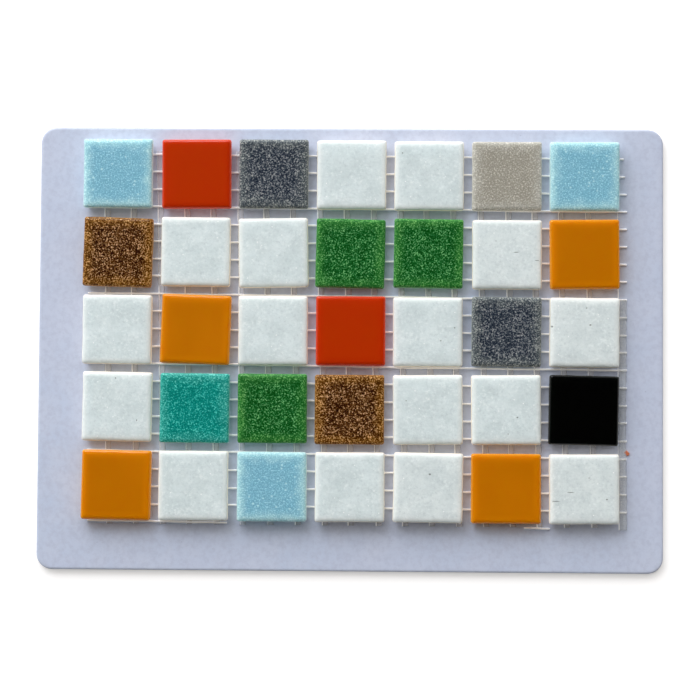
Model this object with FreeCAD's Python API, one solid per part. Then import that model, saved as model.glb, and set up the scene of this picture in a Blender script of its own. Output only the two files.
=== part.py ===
"""A sheet of small square cast-glass tiles on a fibre net, laid on a stiff pale card.

X runs along the card's long side, Y towards its upper edge and Z up, out of the tiles' faces.
The origin is the middle of the card's underside. All lengths are in millimetres and all angles
in degrees, anticlockwise as seen from above.
"""

import FreeCAD, Part
import os
from math import cos, pi, sin, tan

# The card: a board of nominally seven by five inches, with punched round corners
CARD_LENGTH = 178.2
CARD_WIDTH = 126.5
CARD_THICKNESS = 2.0
CARD_CORNER_RADIUS = 4.5

# The tile: wider at its face than at its back, with a soft arris round the face
TILE_FACE = 19.7
TILE_THICKNESS = 4.0
TILE_CORNER_CUT = 0.6
BACK_BEVEL_WIDTH = 0.9
BACK_BEVEL_HEIGHT = 1.9
ARRIS_WIDTH = 1.4
ARRIS_HEIGHT = 1.0
ARRIS_STEPS = 3

# The key on the tile's back: straight grooves that the glue bites into
GROOVE_COUNT = 4
GROOVE_WIDTH = 1.4
GROOVE_DEPTH = 0.4

# The tiles' layout, and how far their field lies from the card's left and upper edges
TILE_ROWS = 5
TILE_COLUMNS = 7
COLUMN_JOINT = 2.35
ROW_JOINT = 2.4
LEFT_MARGIN = 13.3
TOP_MARGIN = 4.2

# Tiles that were set visibly off their even place, by row and column from the top left:
# how far to the right, how far up, and how crooked
SET_OFF = {
    (1, 1): (-0.4, 0.4, 0),
    (1, 2): (0, 0.3, 0.3),
    (1, 3): (-0.1, 0.4, 0),
    (1, 4): (0, 0.2, 0),
    (2, 1): (-0.2, 0, -1.5),
    (2, 2): (-0.1, 0.2, -0.3),
    (2, 3): (0, 0, 1.0),
    (2, 4): (-0.2, -0.1, -1.2),
    (2, 5): (-0.1, 0, -0.6),
    (2, 6): (0.1, -0.2, 0),
    (2, 7): (0, 0, 0.6),
    (3, 1): (-0.2, 0.1, -0.3),
    (3, 2): (0.1, 0.2, -1.8),
    (3, 5): (-0.2, -0.2, 0),
    (3, 6): (0, 0, -0.5),
    (3, 7): (0, -0.1, -0.3),
    (4, 1): (0, 0.3, -0.8),
    (4, 2): (0, 0, -0.4),
    (4, 4): (-0.2, -0.2, 0),
    (4, 5): (-0.1, -0.1, 0.6),
    (4, 6): (0, 0, 0.6),
    (4, 7): (-0.2, 0, -1.0),
    (5, 1): (0, 0.2, -0.9),
    (5, 2): (-0.2, 0.1, 0),
    (5, 5): (0.1, 0, -0.7),
    (5, 6): (0, -0.1, 0),
    (5, 7): (0, -0.1, 0.4),
}

# The net: round wefts across the sheet, and flatter warp strands that run down it
WEFT_COUNT = 22
WEFT_PITCH = 5.0
WEFT_WIDTH = 0.55
WEFT_HEIGHT = 0.5
WEFT_SLANT = -0.5
WARP_COUNT = 20
WARP_PITCH = 7.65
WARP_WIDTH = 1.8
WARP_HEIGHT = 0.3
WARP_SLANT = 1.15

# Where the first strands lie in from the tiles' field, at its middle
FIRST_WEFT_INSET = 3.95
FIRST_WARP_INSET = 6.5

# How the net was cut to size, from the edges of the tiles' field
NET_LEFT_INSET = 1.1
NET_RIGHT_OVERHANG = 2.6
NET_TOP_INSET = 2.2
NET_CUT_MARGIN = 0.6

# The stretch where the lower cut ran above the last weft, from the field's left edge
HIGH_CUT_START = 40.0
HIGH_CUT_END = 126.0

# Where everything lies
COLUMN_PITCH = TILE_FACE + COLUMN_JOINT
ROW_PITCH = TILE_FACE + ROW_JOINT
FIELD_LENGTH = TILE_COLUMNS * COLUMN_PITCH - COLUMN_JOINT
FIELD_WIDTH = TILE_ROWS * ROW_PITCH - ROW_JOINT
FIELD_LEFT = -CARD_LENGTH / 2 + LEFT_MARGIN
FIELD_RIGHT = FIELD_LEFT + FIELD_LENGTH
FIELD_TOP = CARD_WIDTH / 2 - TOP_MARGIN
FIELD_MIDDLE = FreeCAD.Vector(FIELD_LEFT + FIELD_LENGTH / 2, FIELD_TOP - FIELD_WIDTH / 2, 0)
NET_LEVEL = CARD_THICKNESS
TILE_LEVEL = NET_LEVEL + WEFT_HEIGHT


def save(shape, node):
    """Write one piece of the sheet under its own name."""
    shape.exportStep(os.path.join("parts", node + ".step"))


def place(shape, x, y, level, turn):
    """Turn a shape that stands on the origin, and set it down at a point."""
    rotation = FreeCAD.Rotation(FreeCAD.Vector(0, 0, 1), turn)
    shape.Placement = FreeCAD.Placement(FreeCAD.Vector(x, y, level), rotation)
    return shape


def bar(length, width, height):
    """A straight bar along X or Y, centred on the origin and standing on it."""
    return Part.makeBox(length, width, height, FreeCAD.Vector(-length / 2, -width / 2, 0))


def card():
    """The board, punched out of flat stock with round corners."""
    blank = bar(CARD_LENGTH, CARD_WIDTH, CARD_THICKNESS)
    upright = [e for e in blank.Edges if e.BoundBox.ZLength > CARD_THICKNESS / 2]
    return blank.makeFillet(CARD_CORNER_RADIUS, upright)


def section(side, level):
    """The corners of a square with its own corners cut off, anticlockwise, at one level."""
    half = side / 2
    inner = half - TILE_CORNER_CUT
    points = []
    for turn in range(4):
        for x, y in [(inner, -half), (half, -inner)]:
            for _ in range(turn):
                x, y = -y, x
            points.append(FreeCAD.Vector(x, y, level))
    return points


def arris_sections():
    """The face's soft edge, as sections that follow a quarter of an ellipse."""
    sections = []
    for step in range(ARRIS_STEPS + 1):
        angle = pi / 2 * step / ARRIS_STEPS
        inset = ARRIS_WIDTH * (1 - cos(angle))
        drop = ARRIS_HEIGHT * (1 - sin(angle))
        sections.append(section(TILE_FACE - 2 * inset, TILE_THICKNESS - drop))
    return sections


def flat(points):
    """A flat face with the given corners."""
    return Part.Face(Part.makePolygon(points + points[:1]))


def stacked(sections):
    """A solid whose flat sides join each section to the next, from the lowest up."""
    faces = [flat(sections[0][::-1]), flat(sections[-1])]
    for lower, upper in zip(sections, sections[1:]):
        for here in range(len(lower)):
            beyond = (here + 1) % len(lower)
            faces.append(flat([lower[here], lower[beyond], upper[beyond], upper[here]]))
    return Part.makeSolid(Part.makeShell(faces))


def tile():
    """One cast tile, centred on the origin with its back at level 0."""
    back_side = TILE_FACE - 2 * BACK_BEVEL_WIDTH
    below = [section(back_side, 0), section(TILE_FACE, BACK_BEVEL_HEIGHT)]
    body = stacked(below + arris_sections())
    pitch = back_side / (GROOVE_COUNT + 1)
    grooves = []
    for count in range(1, GROOVE_COUNT + 1):
        groove = bar(GROOVE_WIDTH, TILE_FACE, GROOVE_DEPTH)
        grooves.append(place(groove, count * pitch - back_side / 2, 0, 0, 0))
    return body.cut(grooves)


def save_tiles():
    """Every tile of the sheet, one node each, by row and column from the top left."""
    cast = tile()
    for row in range(1, TILE_ROWS + 1):
        for column in range(1, TILE_COLUMNS + 1):
            right, up, turn = SET_OFF.get((row, column), (0, 0, 0))
            x = FIELD_LEFT + TILE_FACE / 2 + (column - 1) * COLUMN_PITCH + right
            y = FIELD_TOP - TILE_FACE / 2 - (row - 1) * ROW_PITCH + up
            save(place(cast.copy(), x, y, TILE_LEVEL, turn), f"tile_r{row}_c{column}")


def warp_middle(number):
    """X of a warp strand at the middle of its length, counted from 0 at the left."""
    return FIELD_LEFT + FIRST_WARP_INSET + number * WARP_PITCH


def weft_middle(number):
    """Y of a weft at the middle of its length, counted from 0 at the top."""
    return FIELD_TOP - FIRST_WEFT_INSET - number * WEFT_PITCH


def strands():
    """All the net's strands, bonded into one where they cross, before it is cut to size."""
    reach = FIELD_LENGTH + FIELD_WIDTH
    bars = []
    for number in range(WARP_COUNT):
        strand = bar(WARP_WIDTH, reach, WARP_HEIGHT)
        bars.append(place(strand, warp_middle(number), FIELD_MIDDLE.y, NET_LEVEL, WARP_SLANT))
    for number in range(WEFT_COUNT):
        strand = bar(reach, WEFT_WIDTH, WEFT_HEIGHT)
        bars.append(place(strand, FIELD_MIDDLE.x, weft_middle(number), NET_LEVEL, WEFT_SLANT))
    return bars[0].fuse(bars[1:])


def cut_edge(x, offset):
    """A point of the net's lower edge, which runs beside the last weft."""
    last = weft_middle(WEFT_COUNT - 1) + (x - FIELD_MIDDLE.x) * tan(WEFT_SLANT * pi / 180)
    return FreeCAD.Vector(x, last + offset, NET_LEVEL)


def cut_outline():
    """The outline that the net was cut to, as a slab as high as the net."""
    left = FIELD_LEFT + NET_LEFT_INSET
    right = FIELD_RIGHT + NET_RIGHT_OVERHANG
    top = FIELD_TOP - NET_TOP_INSET
    high_start = FIELD_LEFT + HIGH_CUT_START
    high_end = FIELD_LEFT + HIGH_CUT_END
    corners = [
        FreeCAD.Vector(left, top, NET_LEVEL),
        cut_edge(left, -NET_CUT_MARGIN),
        cut_edge(high_start, -NET_CUT_MARGIN),
        cut_edge(high_start, NET_CUT_MARGIN),
        cut_edge(high_end, NET_CUT_MARGIN),
        cut_edge(high_end, -NET_CUT_MARGIN),
        cut_edge(right, -NET_CUT_MARGIN),
        FreeCAD.Vector(right, top, NET_LEVEL),
    ]
    return flat(corners).extrude(FreeCAD.Vector(0, 0, WEFT_HEIGHT))


def save_net():
    """The net in two halves, which meet midway between two warp strands."""
    net = strands().common(cut_outline()).removeSplitter()
    seam = warp_middle(WARP_COUNT // 2) - WARP_PITCH / 2
    side = CARD_LENGTH + CARD_WIDTH
    for node, middle in [("net_left_half", seam - side / 2), ("net_right_half", seam + side / 2)]:
        half = place(bar(side, side, WEFT_HEIGHT), middle, 0, NET_LEVEL, 0)
        save(net.common(half), node)


def main():
    """Build every piece and write it to parts/."""
    os.makedirs("parts", exist_ok=True)
    save(card(), "card")
    save_net()
    save_tiles()


main()
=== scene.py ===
import math

import bpy
from mathutils import Euler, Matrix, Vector


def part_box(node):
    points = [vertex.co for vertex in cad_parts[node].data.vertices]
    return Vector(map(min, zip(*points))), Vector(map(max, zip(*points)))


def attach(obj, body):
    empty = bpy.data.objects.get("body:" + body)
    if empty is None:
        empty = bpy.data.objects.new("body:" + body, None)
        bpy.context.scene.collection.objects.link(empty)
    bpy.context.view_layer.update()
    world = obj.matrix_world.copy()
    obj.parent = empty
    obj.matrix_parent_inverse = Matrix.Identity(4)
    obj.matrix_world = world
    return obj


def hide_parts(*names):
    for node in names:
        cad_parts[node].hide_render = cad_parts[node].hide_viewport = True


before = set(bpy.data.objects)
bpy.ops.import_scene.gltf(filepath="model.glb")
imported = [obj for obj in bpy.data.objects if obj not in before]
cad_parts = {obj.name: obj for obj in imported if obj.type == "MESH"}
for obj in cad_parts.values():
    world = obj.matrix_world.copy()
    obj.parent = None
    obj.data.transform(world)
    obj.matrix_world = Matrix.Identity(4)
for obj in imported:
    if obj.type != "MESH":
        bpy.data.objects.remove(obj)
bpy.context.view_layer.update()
scene = bpy.context.scene

# Lengths below are written in millimetres, angles in degrees and colours as 0 to 255 on a screen
MM = 0.001
NEAR_ZERO = 1e-6
PURE_WHITE = (255, 255, 255)

# The tiles' field: its rows and columns, their pitches and joints, its left and top, its middle
ROWS = 5
COLUMNS = 7
COLUMN_PITCH = 22.05
ROW_PITCH = 22.1
COLUMN_JOINT = 2.35
ROW_JOINT = 2.4
FIELD_LEFT = -75.8
FIELD_TOP = 59.05
FIELD_MIDDLE_X = 0.2
FIELD_MIDDLE_Y = 5.0

# What each tile is cast from, row by row from the top left
FINISHES = [
    ["aqua", "red", "charcoal", "white", "white", "warm_grey", "aqua"],
    ["brown", "white", "white", "green", "green", "white", "orange"],
    ["white", "orange", "white", "red", "white", "charcoal", "white"],
    ["white", "teal", "green", "brown", "white", "white", "black"],
    ["orange", "white", "aqua", "white", "white", "orange", "white"],
]

# White tiles of a warmer tone, also painted a little brighter as painted light, to make up for the
# light that falls off down the sheet
WARM_BRIGHTENED_WHITES = {(2, 6), (3, 7), (5, 5), (5, 7)}

# Pits and scratches of the white tiles, by middle, length and width
PITS = [
    (47.4, -19.2, 0.5, 0.4),
    (44.8, -23.9, 0.3, 0.3),
    (22.8, -35.4, 0.6, 0.5),
    (58.3, -42.7, 2.2, 0.25),
    (62.4, -40.2, 2.0, 0.2),
    (67.6, -36.1, 0.3, 0.3),
    (72.6, -42.1, 0.5, 0.4),
    (16.0, -14.7, 0.4, 0.3),
    (14.6, 55.6, 0.4, 0.3),
    (46.9, 27.5, 1.4, 0.2),
    (52.8, 25.2, 1.2, 0.2),
    (41.2, 30.7, 0.3, 0.2),
    (57.1, 6.5, 0.6, 0.5),
    (67.9, 7.0, 0.6, 0.4),
    (66.8, 11.8, 0.4, 0.3),
    (29.6, 6.0, 0.5, 0.3),
    (25.7, 2.3, 0.4, 0.3),
    (-66.3, -8.8, 0.3, 0.5),
    (-60.2, -20.7, 0.3, 0.5),
]

# Tiles that were set visibly crooked, by row and column, anticlockwise from above
CROOKED = {
    (1, 2): 0.3,
    (2, 1): -1.5,
    (2, 2): -0.3,
    (2, 3): 1.0,
    (2, 4): -1.2,
    (2, 5): -0.6,
    (2, 7): 0.6,
    (3, 1): -0.3,
    (3, 2): -1.8,
    (3, 6): -0.5,
    (3, 7): -0.3,
    (4, 1): -0.8,
    (4, 2): -0.4,
    (4, 5): 0.6,
    (4, 6): 0.6,
    (4, 7): -1.0,
    (5, 1): -0.9,
    (5, 5): -0.7,
    (5, 7): 0.4,
}


class Wire:
    """A node's output. A sum on it adds a Math node, or a Vector Math node where it is a vector."""

    def __init__(self, plan, socket):
        self.plan = plan
        self.socket = socket

    def out(self, name):
        """Another output of the same node."""
        return Wire(self.plan, self.socket.node.outputs[name])

    def sum(self, operation, first, second=None):
        """The node that works out one step of a sum."""
        terms = {0: first} if second is None else {0: first, 1: second}
        wires = [term for term in terms.values() if isinstance(term, Wire)]
        if all(wire.socket.type != "VECTOR" for wire in wires):
            return self.plan.node("ShaderNodeMath", {"operation": operation}, terms)
        for place, term in terms.items():
            if not isinstance(term, (Wire, tuple)):
                terms[place] = (term, term, term)
        return self.plan.node("ShaderNodeVectorMath", {"operation": operation}, terms)

    def __add__(self, other):
        return self.sum("ADD", self, other)

    def __radd__(self, other):
        return self.sum("ADD", other, self)

    def __sub__(self, other):
        return self.sum("SUBTRACT", self, other)

    def __rsub__(self, other):
        return self.sum("SUBTRACT", other, self)

    def __mul__(self, other):
        return self.sum("MULTIPLY", self, other)

    def __rmul__(self, other):
        return self.sum("MULTIPLY", other, self)

    def __truediv__(self, other):
        return self.sum("DIVIDE", self, other)

    def __lt__(self, other):
        return self.sum("LESS_THAN", self, other)

    def __gt__(self, other):
        return self.sum("GREATER_THAN", self, other)

    def __pow__(self, other):
        return self.sum("POWER", self, other)

    def by(self, operation):
        """This value put through a sum of one term, such as its sine."""
        return self.sum(operation, self)

    def size(self):
        """How large the value is, whatever its sign."""
        return self.by("ABSOLUTE")

    def at_most(self, other):
        """The smaller of this value and another."""
        return self.sum("MINIMUM", self, other)

    def at_least(self, other):
        """The larger of this value and another."""
        return self.sum("MAXIMUM", self, other)

    def from_to(self, start, end):
        """0 up to start, 1 from end, and smooth between them, in either order."""
        low, high = (0.0, 1.0) if start < end else (1.0, 0.0)
        sockets = {0: self, 1: min(start, end), 2: max(start, end), 3: low, 4: high}
        return self.plan.node("ShaderNodeMapRange", {"interpolation_type": "SMOOTHSTEP"}, sockets)


class Plan:
    """A node tree, and the one way in which nodes are added to it."""

    def __init__(self, tree):
        self.tree = tree

    def node(self, kind, settings=(), sockets=(), out=0):
        """Add a node of one type, with its settings and then its sockets' values or links."""
        made = self.tree.nodes.new(kind)
        for name, value in dict(settings).items():
            if name == "stops":
                self.set_stops(made.color_ramp, value)
            else:
                setattr(made, name, value)
        for place, value in dict(sockets).items():
            if isinstance(value, Wire):
                self.tree.links.new(value.socket, made.inputs[place])
            else:
                made.inputs[place].default_value = value
        return Wire(self, made.outputs[out] if len(made.outputs) else None)

    @staticmethod
    def set_stops(ramp, stops):
        """Give a ramp its stops, each a place from 0 to 1 and a colour."""
        while len(ramp.elements) < len(stops):
            ramp.elements.new(1.0)
        for element, (place, colour) in zip(ramp.elements, stops):
            element.position = place
            element.color = colour

    def split(self, vector):
        """The X, Y and Z of a vector."""
        parts = self.node("ShaderNodeSeparateXYZ", (), {0: vector})
        return parts, parts.out("Y"), parts.out("Z")

    def join(self, x, y, z):
        """A vector from its X, Y and Z."""
        return self.node("ShaderNodeCombineXYZ", (), {0: x, 1: y, 2: z})

    def noise(self, vector, scale, detail=0.0, roughness=0.5, out=0):
        """A smooth noise, from 0 to 1."""
        sockets = {"Vector": vector, "Scale": scale, "Detail": detail, "Roughness": roughness}
        return self.node("ShaderNodeTexNoise", (), sockets, out)

    def blend(self, factor, first, second):
        """A colour between two others."""
        sockets = {0: factor, 6: first, 7: second}
        return self.node("ShaderNodeMix", {"data_type": "RGBA"}, sockets, 2)


def screen(red, green, blue):
    """A colour from its 0 to 255 values on a screen, as the light that the nodes work in."""
    made = []
    for value in (red, green, blue):
        value /= 255
        made.append(value / 12.92 if value <= 0.04045 else ((value + 0.055) / 1.055) ** 2.4)
    return (*made, 1.0)


# Shapes by rule


class Recipe(Plan):
    """A Geometry Nodes tree with named inputs, which is run once for each piece."""

    KINDS = {"number": "NodeSocketFloat", "count": "NodeSocketInt", "point": "NodeSocketVector",
             "finish": "NodeSocketMaterial"}

    def __init__(self, name, **inputs):
        super().__init__(bpy.data.node_groups.new(name, "GeometryNodeTree"))
        face = self.tree.interface
        face.new_socket("Geometry", in_out="OUTPUT", socket_type="NodeSocketGeometry")
        self.keys = {}
        for title, kind in inputs.items():
            made = face.new_socket(title, in_out="INPUT", socket_type=self.KINDS[kind])
            self.keys[title] = made.identifier
        self.entry = self.tree.nodes.new("NodeGroupInput")
        self.position = self.node("GeometryNodeInputPosition")

    def given(self, title):
        """A named input's value."""
        found = [s for s in self.entry.outputs if s.identifier == self.keys[title]]
        return Wire(self, found[0])

    def lattice(self, across, upward):
        """Points one unit apart, across along X and upward along Y, in lines that run along X."""
        line = self.node("GeometryNodeMeshLine", (), {"Count": across, "Offset": (1.0, 0.0, 0.0)})
        row = self.node("GeometryNodeMeshLine", (), {"Count": upward, "Offset": (0.0, 1.0, 0.0)})
        copies = self.node("GeometryNodeInstanceOnPoints", (), {"Points": row, "Instance": line})
        return self.node("GeometryNodeRealizeInstances", (), {0: copies})

    def without(self, points, chosen):
        """What is left when the chosen points are gone."""
        sockets = {0: points, "Selection": chosen}
        return self.node("GeometryNodeDeleteGeometry", {"domain": "POINT"}, sockets)

    def end(self, shape, turn=None, place=None):
        """Smooth the shape, turn it, set it in its place and give it its finish."""
        shape = self.node("GeometryNodeRealizeInstances", (), {0: shape})
        shape = self.node("GeometryNodeSetShadeSmooth", (), {0: shape})
        sockets = {0: shape}
        if turn is not None:
            sockets["Rotation"] = self.join(0.0, 0.0, turn)
        if place is not None:
            sockets["Translation"] = place
        shape = self.node("GeometryNodeTransform", (), sockets)
        shape = self.node("GeometryNodeSetMaterial", (), {0: shape, "Material": self.given("finish")})
        self.node("NodeGroupOutput", (), {0: shape})

    def make(self, name, **values):
        """Run the tree, and keep its result as a plain mesh whose object sits at the origin."""
        piece = bpy.data.objects.new(name, bpy.data.meshes.new(name))
        scene.collection.objects.link(piece)
        modifier = piece.modifiers.new(self.tree.name, "NODES")
        modifier.node_group = self.tree
        for title, value in values.items():
            modifier[self.keys[title]] = value
        bpy.context.view_layer.update()
        result = piece.evaluated_get(bpy.context.evaluated_depsgraph_get())
        mesh = bpy.data.meshes.new_from_object(result)
        piece.modifiers.clear()
        mesh.name = name
        piece.data = mesh
        return piece


# Beyond this height, a point of the unit block lies on its top or its back
NEARLY_HALF = 0.499

# The slow waves of a slab's face and the sway of its sides, in turns per metre
WAVE_SCALE = 190.0
SWAY_SCALE = 170.0

# How steeply a slab's crown falls towards its edge
CROWN_POWER = 4.0


def slab_recipe():
    """A pressed slab: a plan with round corners, a soft upper edge, a back bevel and back grooves."""
    slab = Recipe(
        "pressed slab", across="count", upward="count", length="number", width="number",
        thickness="number", corner="number", ring="number", edge_width="number",
        edge_height="number", bevel_width="number", bevel_height="number", grooves="number",
        groove_width="number", groove_depth="number", crown="number", waves="number",
        wobble="number", seed="number", turn="number", place="point", finish="finish",
    )
    sides = {"Vertices X": slab.given("across"), "Vertices Y": slab.given("across"),
             "Vertices Z": slab.given("upward"), "Size": (1.0, 1.0, 1.0)}
    block = slab.node("GeometryNodeMeshCube", (), sides)
    x, y, z = slab.split(slab.position)
    on_top = z > NEARLY_HALF
    on_back = z < -NEARLY_HALF

    # Crowd the grid's lines towards the edges
    ring = slab.given("ring")
    plan = []
    for along, size in ((x, "length"), (y, "width")):
        half = slab.given(size) * 0.5
        spread = (along * math.pi).by("SINE")
        reach = spread.size() * half
        core = reach.at_most(half - ring)
        plan.append((spread.by("SIGN"), half, core, reach - core))

    # Rings of one shape, with a corner that shrinks to nothing at the innermost
    share = plan[0][3].at_least(plan[1][3]) / ring
    straight = share * (ring - slab.given("corner"))
    bends = [beyond - beyond.at_most(straight) for _, _, _, beyond in plan]
    largest = bends[0].at_least(bends[1])
    radius = (bends[0] * bends[0] + bends[1] * bends[1] + NEAR_ZERO ** 2).by("SQRT")
    rounding = (largest + NEAR_ZERO) / (radius + NEAR_ZERO)
    flat = []
    for (sign, _, core, beyond), bend in zip(plan, bends):
        flat.append(sign * (core + beyond.at_most(straight) + bend * rounding))

    # The wall, from the back bevel up to the soft edge
    rise = z + 0.5
    bevel = slab.given("bevel_height")
    top_of_wall = slab.given("thickness") - slab.given("edge_height") - slab.given("crown")
    below = (rise * 2.0).at_most(1.0) * bevel
    above = (rise * 2.0 - 1.0).at_least(0.0) * (top_of_wall - bevel)
    wall = below + above
    inset = slab.given("bevel_width") * (1.0 - wall / bevel).at_least(0.0)

    # The face, with a soft edge, a low crown and slow waves
    seed = slab.given("seed")
    spot = slab.join(flat[0], flat[1], seed)
    inwards = (ring * (1.0 - share) / slab.given("edge_width")).at_most(1.0)
    fall = 1.0 - inwards
    drop = slab.given("edge_height") * (1.0 - (1.0 - fall * fall).at_least(0.0).by("SQRT"))
    block_edge = 0.5 ** 2
    outwards = (x * x).at_least(y * y) / block_edge
    waves = slab.noise(spot, WAVE_SCALE, 1.0)
    face = slab.given("thickness") - drop - slab.given("crown") * outwards ** CROWN_POWER
    face = face - slab.given("waves") * waves * (1.0 - fall)

    # The back, with its grooves
    back_reach = slab.given("length") - slab.given("bevel_width") * 2.0
    groove_pitch = back_reach / (slab.given("grooves") + 1.0)
    on_bevel = flat[0] * (1.0 - inset / (slab.given("length") * 0.5))
    along = (on_bevel + back_reach * 0.5) / groove_pitch
    nearest = along.by("ROUND")
    inside = (nearest > 0.5) * (nearest < slab.given("grooves") + 0.5)
    aside = (along - nearest).size() * groove_pitch
    back = slab.given("groove_depth") * (aside < slab.given("groove_width") * 0.5) * inside

    # Every point in its place, with the sides narrowed towards the back and swayed a little
    level = on_top * face + on_back * back + (1.0 - on_top) * (1.0 - on_back) * wall
    narrowing = (1.0 - on_top) * inset
    placed = []
    for part, (_, half, _, _) in zip(flat, plan):
        placed.append(part * (1.0 - narrowing / half))
    sway = slab.noise(spot, SWAY_SCALE, 1.0, out=1) - 0.5
    sway_x, sway_y, _ = slab.split(sway * slab.given("wobble"))
    moved = slab.join(placed[0] + sway_x, placed[1] + sway_y, level)

    # How near each point is to the rim and to the edge, for the finishes
    nearness = (plan[0][3] + plan[0][2]) / plan[0][1]
    nearness = nearness.at_least((plan[1][3] + plan[1][2]) / plan[1][1])
    shape = block
    for name, value in (("rim", fall), ("edge", nearness)):
        settings = {"data_type": "FLOAT", "domain": "POINT"}
        sockets = {0: shape, "Name": name, "Value": on_top * value + (1.0 - on_top)}
        shape = slab.node("GeometryNodeStoreNamedAttribute", settings, sockets)
    shape = slab.node("GeometryNodeSetPosition", (), {0: shape, "Position": moved})
    slab.end(shape, slab.given("turn"), slab.given("place"))
    return slab


# Strands: how far an arch reaches, and where a strand is tucked away, as shares of the joints' pitch
ARCH_REACH = 0.1
TUCK_START = 0.05
TUCK_END = 0.10

# How a strand was spun: its least radius and its swell, as shares of its thickness
SPUN_THIN = 0.42
SPUN_SWELL = 0.16
SPIN_SCALE = 900.0

# Where a strand turns patchy, along a slow noise
PATCH_SCALE = 45.0
PATCH_START = 0.42
PATCH_END = 0.58

# How many sides a strand has, and how far apart the noises of two neighbours lie
STRAND_SIDES = 8
CUT_STRIDE = 7.31
WAVER_STRIDE = 3.7


def strand_recipe():
    """A row of strands that run along X, each with its own lean, waver and cut ends."""
    net = Recipe(
        "row of strands", strands="count", steps="count", first="number", pitch="number",
        start="number", start_drift="number", end="number", end_drift="number",
        end_limit="number", middle="number", lean_first="number", lean_last="number",
        ragged="number", waver="number", waver_length="number", thickness="number",
        flatness="number", level="number", arch="number", arch_end="number",
        joint_first="number", joint_pitch="number", gap_strand="number", gap_start="number",
        gap_end="number", gap_tail="number", tucked="number", patchy="number", seed="number",
        turn="number", finish="finish",
    )
    samples = net.given("steps")
    lines = net.lattice(samples, net.given("strands"))
    step, strand, _ = net.split(net.position)
    along = step / (samples - 1.0)

    # Where each strand is cut off
    seed = net.given("seed")
    own = net.join(strand * CUT_STRIDE, seed, 0.5)
    cuts = net.split(net.noise(own, 1.0, out=1) - 0.5)
    start = net.given("start") + net.given("start_drift") * strand + cuts[0] * net.given("ragged")
    end = (net.given("end") + net.given("end_drift") * strand).at_most(net.given("end_limit"))
    end = end + cuts[1] * net.given("ragged")
    x = start + along * (end - start)

    # Its lean and its waver
    change = net.given("lean_last") - net.given("lean_first")
    lean = net.given("lean_first") + change * strand / (net.given("strands") - 1.0)
    rise = lean.by("TANGENT")
    path = net.join(x / net.given("waver_length"), strand * WAVER_STRIDE, seed)
    side, lift, _ = net.split(net.noise(path, 1.0, 1.0, out=1) - 0.5)
    y = net.given("first") + net.given("pitch") * strand + (x - net.given("middle")) * rise
    y = y + side * net.given("waver")

    # It arches up a little where a joint leaves it room
    turns = (x - net.given("joint_first")) / net.given("joint_pitch")
    aside = (turns - turns.by("ROUND")).size()
    arch = aside.from_to(ARCH_REACH, 0.0) * net.given("arch") * (1.0 + lift)
    arch = arch * (x < net.given("arch_end"))

    # One strand may be gone over a stretch, and at its tail
    last = (strand - net.given("gap_strand")).size() < 0.5
    gone = (x > net.given("gap_start")) * (x < net.given("gap_end"))
    gone = last * gone.at_least(x > net.given("gap_tail"))
    lines = net.without(lines, gone)
    place = net.join(x, y, net.given("level") + arch)
    lines = net.node("GeometryNodeSetPosition", (), {0: lines, "Position": place})
    curve = net.node("GeometryNodeMeshToCurve", (), {0: lines})
    curve = net.node("GeometryNodeSetCurveNormal", {"mode": "Z_UP"}, {0: curve})

    # It swells and thins as it was spun, and lies tucked away where no joint shows it
    spun = net.noise(net.position, SPIN_SCALE)
    radius = net.given("thickness") * (SPUN_THIN + SPUN_SWELL * spun)
    turns = (net.position - net.join(net.given("joint_first"), 0.0, 0.0)) / net.given("joint_pitch")
    turns, _, _ = net.split(turns)
    tucked = (turns - turns.by("ROUND")).size().from_to(TUCK_START, TUCK_END)
    radius = radius * (1.0 - (1.0 - net.given("tucked")) * tucked)
    slow = net.noise(net.position, PATCH_SCALE).from_to(PATCH_START, PATCH_END)
    radius = radius * (1.0 - net.given("patchy") * slow)
    sockets = {"Resolution": STRAND_SIDES, "Radius": 1.0}
    ring = net.node("GeometryNodeCurvePrimitiveCircle", (), sockets)
    flattened = net.join(net.given("flatness"), 1.0, 1.0)
    ring = net.node("GeometryNodeTransform", (), {0: ring, "Scale": flattened})
    sockets = {0: curve, 1: ring, "Scale": radius, "Fill Caps": True}
    net.end(net.node("GeometryNodeCurveToMesh", (), sockets), net.given("turn"))
    return net


# Bonds: how far apart the noises of two crossings lie, and the stretch of them that chances fill
WARP_STRIDE = 3.31
WEFT_STRIDE = 5.17
CHANCE_START = 0.35
CHANCE_END = 0.65

# The least length of a bond and its breadth, as shares of its radius, and its greatest turn
BOND_SHORTEST = 0.4
BOND_BREADTH = 0.8
BOND_TURN = 6.0


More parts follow.
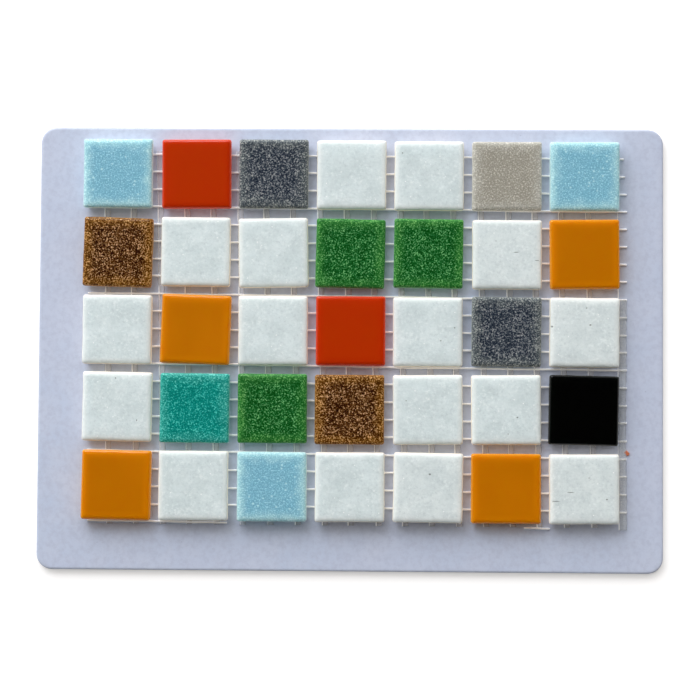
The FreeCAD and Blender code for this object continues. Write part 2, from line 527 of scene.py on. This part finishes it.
def bond_recipe():
    """Small lumps of coating, at some of the places where warps and wefts cross."""
    net = Recipe(
        "bonds of a net", warps="count", wefts="count", first_warp="number", warp_pitch="number",
        first_weft="number", weft_pitch="number", lean="number", slant="number", middle_x="number",
        middle_y="number", level="number", radius="number", height="number", share="number",
        seed="number", finish="finish",
    )
    points = net.lattice(net.given("warps"), net.given("wefts"))
    warp, weft, _ = net.split(net.position)
    own = net.join(warp * WARP_STRIDE, weft * WEFT_STRIDE, net.given("seed"))
    chance, wide, turn = net.split(net.noise(own, 1.0, out=1))

    # A crossing lies on a leaning warp, and on a weft that slants down to the right
    level_y = net.given("first_weft") + net.given("weft_pitch") * weft
    x = net.given("first_warp") + net.given("warp_pitch") * warp
    x = x - (level_y - net.given("middle_y")) * net.given("lean").by("TANGENT")
    y = level_y + (x - net.given("middle_x")) * net.given("slant").by("TANGENT")
    points = net.without(points, chance.from_to(CHANCE_START, CHANCE_END) > net.given("share"))
    place = net.join(x, y, net.given("level"))
    points = net.node("GeometryNodeSetPosition", (), {0: points, "Position": place})
    lump = net.node("GeometryNodeMeshIcoSphere", (), {"Radius": 1.0, "Subdivisions": 2})
    reach = net.given("radius")
    size = net.join(reach * (BOND_SHORTEST + wide), reach * BOND_BREADTH, net.given("height"))
    sockets = {"Points": points, "Instance": lump, "Scale": size,
               "Rotation": net.join(0.0, 0.0, turn * BOND_TURN)}
    net.end(net.node("GeometryNodeInstanceOnPoints", (), sockets))
    return net


# Finishes, whose noise scales are in turns per metre

# A speck is full out to this share of its radius
SPECK_CORE = 0.4

# A mark fades between these shares of its half length and half width
MARK_FULL = 0.6
MARK_GONE = 1.3


class Finish(Plan):
    """A material, whose nodes read the place of a point on the object."""

    def __init__(self, name):
        self.made = bpy.data.materials.new(name)
        self.made.use_nodes = True
        super().__init__(self.made.node_tree)
        self.tree.nodes.clear()
        self.place = self.node("ShaderNodeTexCoord", out="Object")

    def grain(self, scale, detail=0.0, roughness=0.5, stretch=None):
        """A noise over the object, from 0 to 1, with its detail and a crowding along each axis."""
        place = self.place * stretch if stretch else self.place
        return self.noise(place, scale, detail, roughness)

    def specks(self, pitch, radius, share):
        """Scattered round specks in a share of a lattice's cells, 1 inside a speck."""
        cell = self.node("ShaderNodeTexVoronoi", (), {"Vector": self.place, "Scale": 1 / (pitch * MM)})
        chance = self.node("ShaderNodeSeparateColor", (), {0: cell.out("Color")})
        near = cell.from_to(radius / pitch, radius / pitch * SPECK_CORE)
        return near * (chance < share)

    def marks(self, listed):
        """Single marks of the sheet, by middle, length and width in millimetres: 1 inside a mark."""
        inside = 0.0
        for x, y, length, width in listed:
            offset = (self.place - (x * MM, y * MM, 0.0)) / (length / 2 * MM, width / 2 * MM, 1.0)
            far = self.node("ShaderNodeVectorMath", {"operation": "LENGTH"}, {0: offset}, "Value")
            inside = far.from_to(MARK_GONE, MARK_FULL).at_least(inside)
        return inside

    def over(self, body, share, colour):
        """A body with a share of it covered by a screen colour."""
        return self.blend(share, body, screen(*colour))

    def bump(self, height, depth, normal=None):
        """A bump of a height from 0 to 1, as deep as depth in millimetres."""
        sockets = {"Height": height, "Distance": depth * MM, "Strength": 1.0}
        if normal is not None:
            sockets["Normal"] = normal
        return self.node("ShaderNodeBump", (), sockets)

    def end(self, colour, roughness, normal, **constants):
        """The surface itself."""
        sockets = {"Base Color": colour, "Roughness": roughness, "Normal": normal}
        for title, value in constants.items():
            sockets[title.replace("_", " ")] = value
        shader = self.node("ShaderNodeBsdfPrincipled", (), sockets)
        self.node("ShaderNodeOutputMaterial", (), {0: shader})
        return self.made


# Light in cast glass: the share that spreads under the surface, and how far in millimetres
SPREAD_SHARE = 0.7
SPREAD_DEPTH = 4.0

# A tile's sides: how much of their own colour they take on, and a glow that stands in for the light
# that comes through from the face
SIDE_SHARE = 0.8
SIDE_GLOW = 0.22


class CastGlass(Finish):
    """A finish of a pressed slab, which knows how near a point is to the rim and to the edge."""

    def __init__(self, name):
        super().__init__(name)
        self.rim = self.node("ShaderNodeAttribute", {"attribute_name": "rim"}, out="Fac")
        self.edge = self.node("ShaderNodeAttribute", {"attribute_name": "edge"}, out="Fac")

    def end_cast(self, colour, roughness, normal, wall, mirror=0.25):
        """The surface of cast glass, which spreads light under its face, and whose sides glow in their
        own colour as painted light, standing in for the light carried through from the face.
        """
        colour = self.over(colour, self.rim.from_to(0.85, 1.0) * SIDE_SHARE, wall)
        # Painted light: the outermost sides glow in the wall colour
        glow = self.over(screen(0, 0, 0), self.rim.from_to(0.97, 1.0), wall)
        return self.end(colour, roughness, normal, Subsurface_Weight=SPREAD_SHARE,
                        Subsurface_Radius=(1.0, 1.0, 1.0), Subsurface_Scale=SPREAD_DEPTH * MM,
                        Specular_IOR_Level=mirror, Emission_Color=glow,
                        Emission_Strength=SIDE_GLOW)


# Colours of the white glass, apart from the own colours of its cool kind and its warmer, brightened
# kind
BRIGHT_GRAIN = (238, 246, 246)
DULL_GRAIN = (190, 201, 204)
PAINTED_GLINT = (250, 255, 255)
WHITE_EDGE = (230, 237, 233)
WHITE_RIM = (244, 238, 220)
WHITE_WALL = (238, 226, 206)
PIT = (110, 114, 112)


def white_glass(name, low, high):
    """Milk white glass, with bright grains, soft bumps, a few dark pits and painted highlights for its
    glints.
    """
    glass = CastGlass(name)
    cloud = glass.grain(scale=150.0, detail=3.0, roughness=0.6)
    body = glass.blend(cloud.from_to(0.30, 0.72), screen(*low), screen(*high))
    grains = glass.grain(scale=1300.0, detail=3.0, roughness=0.6)
    patches = glass.grain(scale=260.0, detail=1.0).from_to(0.35, 0.65)
    body = glass.over(body, grains.from_to(0.50, 0.70) * (0.25 + 0.4 * patches), BRIGHT_GRAIN)
    body = glass.over(body, grains.from_to(0.46, 0.30) * 0.42, DULL_GRAIN)
    # Painted highlights: glints painted on as small near-white specks
    body = glass.over(body, glass.specks(pitch=1.4, radius=0.24, share=0.22), PAINTED_GLINT)
    body = glass.over(body, glass.edge.from_to(0.80, 0.97) * 0.5, WHITE_EDGE)
    body = glass.over(body, glass.rim.from_to(0.75, 1.0) * 0.6, WHITE_RIM)
    pits = glass.marks(PITS)
    body = glass.over(body, pits * 0.8, PIT)
    lumps = glass.grain(scale=420.0, detail=3.0, roughness=0.6)
    normal = glass.bump(pits, -0.10, glass.bump(lumps, 0.20))
    return glass.end_cast(body, 0.22 + 0.25 * cloud, normal, WHITE_WALL)


# Grained glass: the sizes of its slow changes, its bright blobs, which are pale grains and painted
# highlights for glints at once, and its lumps, in grains
SLOW_GRAINS = 7.0
BLOB_PITCH = 3.0
BLOB_RADIUS = 1.0
LUMP_GRAINS = 1.4

# Where the deep, middle and pale shades of grained glass lie on its ramp
SHADE_STOPS = (0.0, 0.45, 1.0)


def grain_glass(name, grain, middle, outer, wall, blobs_and_glints=0.0):
    """Glass cast from grains, deep to pale, in one set of shades amid the face and one around it."""
    glass = CastGlass(name)
    fine = glass.grain(scale=1 / (grain * MM), detail=2.0, roughness=0.65)
    coarse = glass.grain(scale=1 / (grain * SLOW_GRAINS * MM), detail=1.0)
    share = (fine - 0.5 + (coarse - 0.5) * 0.1).from_to(-0.12, 0.26)
    near = (glass.edge + (coarse - 0.5) * 0.3).from_to(0.6, 1.0)
    bodies = []
    for shades in (middle, outer):
        stops = [(place, screen(*shade)) for place, shade in zip(SHADE_STOPS, shades)]
        bodies.append(glass.node("ShaderNodeValToRGB", {"stops": stops}, {0: share}))
    body = glass.blend(near, *bodies)
    # Bright blobs in the palest shade: pale grains that also serve as painted highlights for glints
    if blobs_and_glints:
        bright = glass.specks(grain * BLOB_PITCH, grain * BLOB_RADIUS, blobs_and_glints)
        body = glass.over(body, bright * 0.6, outer[2])
    lumps = glass.grain(scale=1 / (grain * LUMP_GRAINS * MM), detail=2.0, roughness=0.6)
    return glass.end_cast(body, 0.18 + 0.12 * coarse, glass.bump(lumps, 0.05), wall)


def plain_glass(name, face, edge, wall):
    """Opaque glass of one even colour, a little brighter where it is thinner, with a painted highlight
    along its arris.
    """
    glass = CastGlass(name)
    cloud = glass.grain(scale=70.0, detail=1.0)
    body = glass.blend(cloud.from_to(0.35, 0.65) * 0.3, screen(*face), screen(*edge))
    body = glass.over(body, glass.edge.from_to(0.7, 0.95), edge)
    # Painted highlight: the arris all round the face painted lighter, in the sides' colour
    body = glass.over(body, glass.rim.from_to(0.55, 0.95) * 0.5, wall)
    ripple = glass.grain(scale=260.0, detail=1.0)
    return glass.end_cast(body, 0.10 + 0.05 * cloud, glass.bump(ripple, 0.03), wall, mirror=0.4)


# Colours of the card: its mottle, its slow fading, its grain, the dust on it and its core
MOTTLE_DEEP = (186, 201, 226)
MOTTLE_PALE = (202, 209, 227)
FADED = (200, 206, 225)
PAPER_GRAIN = (180, 188, 210)
DUST = (130, 136, 160)
CORE_DEEP = (170, 167, 170)
CORE_PALE = (194, 190, 191)

# The core shows between the outer two of these heights in millimetres, and is full between the inner
CORE_HEIGHTS = (0.2, 0.4, 1.5, 1.75)


def card_stock():
    """Pale coated board, faintly mottled and dusty, with a grey core at its cut edges."""
    card = Finish("coated board")
    mottle = card.grain(scale=130.0, detail=3.0, roughness=0.6)
    paper = card.blend(mottle, screen(*MOTTLE_DEEP), screen(*MOTTLE_PALE))
    paper = card.over(paper, card.grain(scale=14.0, detail=1.0).from_to(0.3, 0.7) * 0.4, FADED)
    grain = card.grain(scale=650.0, detail=2.0, roughness=0.7)
    paper = card.over(paper, grain.from_to(0.35, 0.75) * 0.6, PAPER_GRAIN)
    paper = card.over(paper, card.specks(pitch=4.0, radius=0.22, share=0.12) * 0.4, DUST)
    _, _, height = card.split(card.place)
    foot, full_from, full_to, top = [level * MM for level in CORE_HEIGHTS]
    core = height.from_to(top, full_to) * height.from_to(foot, full_from)
    layers = card.grain(scale=500.0, detail=2.0, stretch=(1.0, 1.0, 8.0))
    paper = card.blend(core, paper, card.blend(layers, screen(*CORE_DEEP), screen(*CORE_PALE)))
    tooth = card.grain(scale=1500.0, detail=2.0)
    return card.end(paper, 0.45 + 0.1 * mottle, card.bump(tooth, 0.02))


# The net's yarn: its deeper shade, how strongly its coating mirrors, and a glow that stands in for
# the light that runs along its fibres
YARN_SHADE = (244, 246, 248)
YARN_IOR = 1.9
YARN_GLOW = 0.08


def net_yarn():
    """Glass yarn under a clear coating."""
    yarn = Finish("coated glass yarn")
    fibres = yarn.grain(scale=1200.0, detail=2.0)
    body = yarn.blend(fibres, screen(*YARN_SHADE), screen(*PURE_WHITE))
    return yarn.end(body, 0.25 + 0.1 * fibres, yarn.bump(fibres, 0.03), IOR=YARN_IOR,
                    Emission_Color=body, Emission_Strength=YARN_GLOW)


def net_film(name, thin, thick, cover):
    """The coating that spreads beside a warp's yarn, and covers a share of what lies under it."""
    film = Finish(name)
    fibres = film.grain(scale=2600.0, detail=2.0, stretch=(1.0, 0.12, 1.0))
    body = film.blend(fibres, screen(*thin), screen(*thick))
    return film.end(body, 0.3, film.bump(fibres, 0.01), Alpha=cover)


GLASS = {
    "white": white_glass("white cast glass", low=(209, 221, 222), high=(221, 232, 233)),
    # Warmer white, painted a little brighter as well: painted light for the weaker light down the
    # sheet
    "warm_brightened_white": white_glass("later white cast glass", low=(212, 222, 223), high=(224, 233, 233)),
    "aqua": grain_glass(
        "aqua cast glass", grain=0.43, middle=[(117, 172, 194), (141, 198, 216), (189, 232, 242)],
        outer=[(158, 203, 212), (178, 220, 227), (206, 240, 242)], wall=(208, 232, 228), blobs_and_glints=0.35),
    "teal": grain_glass(
        "teal cast glass", grain=0.42, middle=[(0, 122, 112), (12, 156, 144), (94, 222, 210)],
        outer=[(30, 142, 132), (66, 174, 162), (134, 224, 212)], wall=(120, 190, 180)),
    "green": grain_glass(
        "green cast glass", grain=0.41, middle=[(0, 70, 10), (36, 118, 56), (136, 208, 134)],
        outer=[(34, 108, 42), (66, 136, 64), (128, 192, 108)], wall=(104, 160, 122)),
    "brown": grain_glass(
        "brown cast glass", grain=0.42, middle=[(32, 4, 0), (112, 70, 24), (238, 196, 150)],
        outer=[(82, 44, 0), (150, 104, 42), (232, 188, 122)], wall=(168, 126, 76)),
    "charcoal": grain_glass(
        "charcoal cast glass", grain=0.42, middle=[(28, 38, 54), (87, 95, 104), (182, 184, 182)],
        outer=[(72, 80, 86), (122, 129, 129), (190, 194, 187)], wall=(136, 145, 142)),
    "warm_grey": grain_glass(
        "warm grey cast glass", grain=0.46,
        middle=[(150, 147, 136), (171, 168, 157), (222, 219, 206)],
        outer=[(166, 165, 156), (188, 187, 179), (224, 222, 212)], wall=(202, 202, 192)),
    "red": plain_glass("red cast glass", face=(184, 51, 0), edge=(186, 46, 2), wall=(214, 84, 58)),
    "orange": plain_glass(
        "orange cast glass", face=(194, 116, 0), edge=(208, 126, 2), wall=(214, 146, 44)),
    "black": plain_glass("black cast glass", face=(1, 1, 1), edge=(2, 3, 2), wall=(22, 28, 26)),
}
SPLINTER = plain_glass(
    "splinter of red cast glass", face=(224, 116, 80), edge=(226, 124, 90), wall=(232, 140, 112))
YARN = net_yarn()
FILM = net_film("clear net coating", thin=(226, 228, 232), thick=(238, 240, 244), cover=0.32)
THICK_FILM = net_film(
    "thick net coating", thin=(196, 201, 202), thick=(216, 220, 220), cover=0.24)
BOARD = card_stock()

# The pieces


def keep(piece, slot, *nodes):
    """Tie a piece to the object and hide the parts it stands for; the slot is not used."""
    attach(piece, "root")
    if nodes:
        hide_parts(*nodes)


def scaled(values):
    """Sizes from millimetres to metres."""
    return {title: value * MM for title, value in values.items()}


SLAB = slab_recipe()
STRANDS = strand_recipe()
BONDS = bond_recipe()

# The sizes of the board and of a tile, apart from those that their nodes' boxes give
CARD_SIZES = {
    "edge_width": 0.55, "edge_height": 0.4, "bevel_width": 0.25, "bevel_height": 0.3,
    "corner": 4.5, "ring": 4.5, "crown": 0.0, "waves": 0.0, "wobble": 0.0,
    "groove_width": 0.0, "groove_depth": 0.0,
}
TILE_SIZES = {
    "length": 19.7, "width": 19.7, "corner": 0.7, "ring": 1.4, "edge_width": 1.4,
    "edge_height": 0.6, "bevel_width": 0.9, "bevel_height": 1.9, "groove_width": 1.4,
    "groove_depth": 0.4,
}

# How even a tile's face and sides come out, in plain glass and in glass with grains
PLAIN_GLASS = ("red", "orange", "black")
PLAIN_FACE = {"crown": 0.25, "waves": 0.03, "wobble": 0.10}
GRAINED_FACE = {"crown": 0.45, "waves": 0.10, "wobble": 0.28}

# How far apart the seeds of two neighbouring tiles lie
ROW_SEED = 1.37
COLUMN_SEED = 0.61


def middle_of(low, high):
    """The middle of a box's underside."""
    return (low.x + high.x) / 2, (low.y + high.y) / 2, low.z


def make_card():
    """The board with its punched, slightly rolled edge."""
    low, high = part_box("card")
    card = SLAB.make(
        "card_board", across=81, upward=5, length=high.x - low.x, width=high.y - low.y,
        thickness=high.z - low.z, grooves=0.0, seed=0.0, turn=0.0, place=middle_of(low, high),
        finish=BOARD, **scaled(CARD_SIZES))
    keep(card, "card", "card")


def make_tiles():
    """Every tile, pressed in its finish and set where the sheet has it."""
    for row in range(1, ROWS + 1):
        for column in range(1, COLUMNS + 1):
            node = f"tile_r{row}_c{column}"
            finish = FINISHES[row - 1][column - 1]
            glass = GLASS["warm_brightened_white" if (row, column) in WARM_BRIGHTENED_WHITES else finish]
            face = PLAIN_FACE if finish in PLAIN_GLASS else GRAINED_FACE
            low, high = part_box(node)
            tile = SLAB.make(
                "cast_" + node, across=41, upward=7, thickness=high.z - low.z, grooves=4.0,
                seed=row * ROW_SEED + column * COLUMN_SEED,
                turn=math.radians(CROOKED.get((row, column), 0.0)), place=middle_of(low, high),
                finish=glass, **scaled(TILE_SIZES), **scaled(face))
            keep(tile, finish + "_glass", node)


# The net: its nodes, and its strands with their pitches and leans. The last of the wefts has a gap,
# no warp has one, and the warp beyond the even ones leans less
NET_HALVES = ("net_left_half", "net_right_half")
WEFT_COUNT = 22
WEFT_PITCH = -5.008
WEFT_LEANS = (-0.37, -0.63)
WEFT_SLANT = -0.5
FIRST_WEFT = 55.1
EVEN_WARPS = 19
WARP_PITCH = 7.65
WARP_LEAN = 1.15
NO_STRAND = -9.0
WEFT_SIZES = {
    "first": FIRST_WEFT, "pitch": WEFT_PITCH, "start": -75.5, "start_drift": 0.04, "end": 77.8,
    "end_drift": 0.4, "end_limit": 78.7, "middle": FIELD_MIDDLE_X, "ragged": 0.4, "waver": 0.8,
    "waver_length": 14.0, "thickness": 0.60, "level": 2.27, "arch": 0.55, "arch_end": 70.0,
    "joint_first": FIELD_LEFT - COLUMN_JOINT / 2, "joint_pitch": COLUMN_PITCH,
    "gap_start": -34.4, "gap_end": 49.4, "gap_tail": 57.6,
}
WARP_SIZES = {
    "pitch": WARP_PITCH, "start_drift": 0.0, "end_drift": 0.012, "end_limit": 51.0,
    "middle": -FIELD_MIDDLE_Y, "ragged": 0.3, "waver": 1.6, "waver_length": 60.0, "arch": 0.12,
    "arch_end": 99.0, "joint_first": -(FIELD_TOP + ROW_JOINT / 2), "joint_pitch": ROW_PITCH,
    "gap_start": 0.0, "gap_end": 0.0, "gap_tail": 99.0,
}
BOND_SIZES = {
    "first_warp": -70.0, "warp_pitch": WARP_PITCH, "first_weft": FIRST_WEFT,
    "weft_pitch": WEFT_PITCH, "middle_x": FIELD_MIDDLE_X, "middle_y": FIELD_MIDDLE_Y,
    "level": 2.4, "radius": 0.42, "height": 0.3,
}

# The warps: their yarns and the clear films beside them, with the last warp on its own
YARN_FORM = {"flatness": 1.0, "tucked": 0.3, "patchy": 0.6, "finish": YARN}
FILM_FORM = {"flatness": 15.0, "tucked": 1.0, "patchy": 0.0, "finish": FILM}
THICK_FORM = {"flatness": 18.0, "tucked": 1.0, "patchy": 0.0, "finish": THICK_FILM}
WARPS = [
    ("net_warp_yarns", EVEN_WARPS, WARP_LEAN, YARN_FORM,
     {"first": -70.02, "start": -56.6, "end": 50.1, "thickness": 0.32, "level": 2.28}),
    ("net_warp_films", EVEN_WARPS, WARP_LEAN, FILM_FORM,
     {"first": -69.3, "start": -56.6, "end": 50.1, "thickness": 0.12, "level": 2.20}),
    ("net_last_warp_yarn", 1, 0.5, YARN_FORM,
     {"first": 76.15, "start": -56.6, "end": 50.9, "thickness": 0.32, "level": 2.28}),
    ("net_last_warp_film", 1, 0.35, THICK_FORM,
     {"first": 77.4, "start": -14.5, "end": 50.9, "thickness": 0.12, "level": 2.60}),
]


def make_net():
    """The net: round wefts, warps of a fine yarn in a flat film, and bonds where they cross."""
    first_lean, last_lean = [math.radians(lean) for lean in WEFT_LEANS]
    wefts = STRANDS.make(
        "net_wefts", strands=WEFT_COUNT, steps=170, lean_first=first_lean, lean_last=last_lean,
        flatness=1.0, gap_strand=WEFT_COUNT - 1.0, tucked=1.0, patchy=0.0, seed=3.0, turn=0.0,
        finish=YARN, **scaled(WEFT_SIZES))
    keep(wefts, "net", *NET_HALVES)
    for name, count, lean, form, sizes in WARPS:
        warps = STRANDS.make(
            name, strands=count, steps=120, lean_first=math.radians(lean),
            lean_last=math.radians(lean), gap_strand=NO_STRAND, seed=8.0,
            turn=math.radians(-90.0), **form, **scaled(WARP_SIZES), **scaled(sizes))
        keep(warps, "net", *NET_HALVES)
    bonds = BONDS.make(
        "net_bonds", warps=EVEN_WARPS, wefts=WEFT_COUNT - 1, lean=math.radians(WARP_LEAN),
        slant=math.radians(WEFT_SLANT), share=0.5, seed=5.0, finish=YARN, **scaled(BOND_SIZES))
    keep(bonds, "net", *NET_HALVES)


# The splinter: where it lies on the board, how it is turned, and its sizes
CRUMB_X = 78.8
CRUMB_Y = -29.1
CRUMB_TURN = -48.0
CRUMB_SIZES = {
    "length": 1.45, "width": 0.95, "thickness": 0.5, "corner": 0.2, "ring": 0.2,
    "edge_width": 0.2, "edge_height": 0.2, "bevel_width": 0.05, "bevel_height": 0.1,
    "groove_width": 0.0, "groove_depth": 0.0, "crown": 0.0, "waves": 0.2, "wobble": 0.5,
}


def make_crumb():
    """A splinter of red glass that lies on the board beside the last column."""
    _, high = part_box("card")
    crumb = SLAB.make(
        "glass_crumb", across=13, upward=5, grooves=0.0, seed=4.0,
        turn=math.radians(CRUMB_TURN), place=(CRUMB_X * MM, CRUMB_Y * MM, high.z),
        finish=SPLINTER, **scaled(CRUMB_SIZES))
    keep(crumb, "red_glass")


make_card()
make_tiles()
make_net()
make_crumb()

# Floor, light and camera

# The floor: half its side in metres, its paint, and its glow where it is seen and not lit
FLOOR_REACH = 3.0
FLOOR_PAINT = (230, 230, 230)
FLOOR_GLOW = 0.4


def make_floor():
    """A white floor that keeps the object's shadow."""
    mesh = bpy.data.meshes.new("floor")
    signs = ((-1, -1), (1, -1), (1, 1), (-1, 1))
    corners = [(x * FLOOR_REACH, y * FLOOR_REACH, 0.0) for x, y in signs]
    mesh.from_pydata(corners, [], [(0, 1, 2, 3)])
    floor = bpy.data.objects.new("floor", mesh)
    scene.collection.objects.link(floor)
    material = bpy.data.materials.new("floor paint")
    material.use_nodes = True
    material.node_tree.nodes.clear()
    paint = Plan(material.node_tree)
    path = paint.node("ShaderNodeLightPath", out="Is Camera Ray")
    seen = path.at_least(path.out("Is Glossy Ray")).at_least(path.out("Is Transmission Ray"))
    matt = paint.node("ShaderNodeBsdfDiffuse", (), {"Color": screen(*FLOOR_PAINT)})
    sockets = {"Color": screen(*PURE_WHITE), "Strength": seen * FLOOR_GLOW}
    glow = paint.node("ShaderNodeEmission", (), sockets)
    both = paint.node("ShaderNodeAddShader", (), {0: matt, 1: glow})
    paint.node("ShaderNodeOutputMaterial", (), {0: both})
    mesh.materials.append(material)


# The lamp: its place and size in metres, its power in watts and its colour
LAMP_FROM = (-0.46, 0.90, 0.66)
LAMP_SIZE = 0.9
LAMP_POWER = 8.5
LAMP_COLOUR = (0.95, 0.99, 1.07)

# The room: its lit side, how bright each side is, and over which slope the one fades to the other
LIT_SIDE = (-0.33, 0.944, 0.0)
LIT_STRENGTH = 1.7
DARK_STRENGTH = 0.03
FADE_START = -0.10
FADE_END = 0.50
ROOM_COLOUR = (1.04, 1.0, 0.96, 1.0)

# What a mirror sees straight overhead, and over which slope it fades to the white all round
OVERHEAD_SEEN = 0.01
OVERHEAD_START = 0.75
OVERHEAD_END = 0.1


def make_light():
    """A lamp at the upper left, in a room whose upper side is lit and whose lower side is dark."""
    lamp = bpy.data.lights.new("lamp", "AREA")
    lamp.shape = "DISK"
    lamp.size = LAMP_SIZE
    lamp.energy = LAMP_POWER
    lamp.color = LAMP_COLOUR
    hung = bpy.data.objects.new("lamp", lamp)
    hung.location = LAMP_FROM
    hung.rotation_mode = "QUATERNION"
    hung.rotation_quaternion = (-Vector(LAMP_FROM)).to_track_quat("-Z", "Y")
    scene.collection.objects.link(hung)
    world = bpy.data.worlds.new("studio")
    world.use_nodes = True
    world.node_tree.nodes.clear()
    scene.world = world
    room = Plan(world.node_tree)
    path = room.node("ShaderNodeLightPath", out="Is Camera Ray")
    mirrored = path.out("Is Glossy Ray").at_least(path.out("Is Transmission Ray"))
    ahead = room.node("ShaderNodeTexCoord", out="Generated")
    _, _, up = room.split(ahead)
    around = up.from_to(OVERHEAD_START, OVERHEAD_END)
    seen = path + mirrored * (OVERHEAD_SEEN + (1.0 - OVERHEAD_SEEN) * around)
    other = 1.0 - path.at_least(mirrored)
    towards = room.node("ShaderNodeVectorMath", {"operation": "DOT_PRODUCT"},
                        {0: ahead, 1: LIT_SIDE}, "Value")
    share = towards.from_to(FADE_START, FADE_END)
    lit = DARK_STRENGTH + (LIT_STRENGTH - DARK_STRENGTH) * share
    tint = room.blend(other, screen(*PURE_WHITE), ROOM_COLOUR)
    glow = room.node("ShaderNodeBackground", (), {"Color": tint, "Strength": seen + other * lit})
    room.node("ShaderNodeOutputWorld", (), {0: glow})


# The camera: its lens and sensor in millimetres, its place, its turns, and its nearest sight
CAMERA_LENS = 90.0
CAMERA_SENSOR = 36.0
CAMERA_PLACE = (9.03, -18.34, 500.98)
CAMERA_TURNS = (2.081, 1.024, 0.38)
CAMERA_NEAR = 0.01


def make_camera():
    """The camera, nearly straight above the sheet."""
    lens = bpy.data.cameras.new("camera")
    lens.lens = CAMERA_LENS
    lens.sensor_width = CAMERA_SENSOR
    lens.clip_start = CAMERA_NEAR
    camera = bpy.data.objects.new("camera", lens)
    camera.location = Vector(CAMERA_PLACE) * MM
    camera.rotation_euler = Euler([math.radians(angle) for angle in CAMERA_TURNS], "XYZ")
    scene.collection.objects.link(camera)
    scene.camera = camera


make_floor()
make_light()
make_camera()
scene.view_settings.view_transform = "Standard"
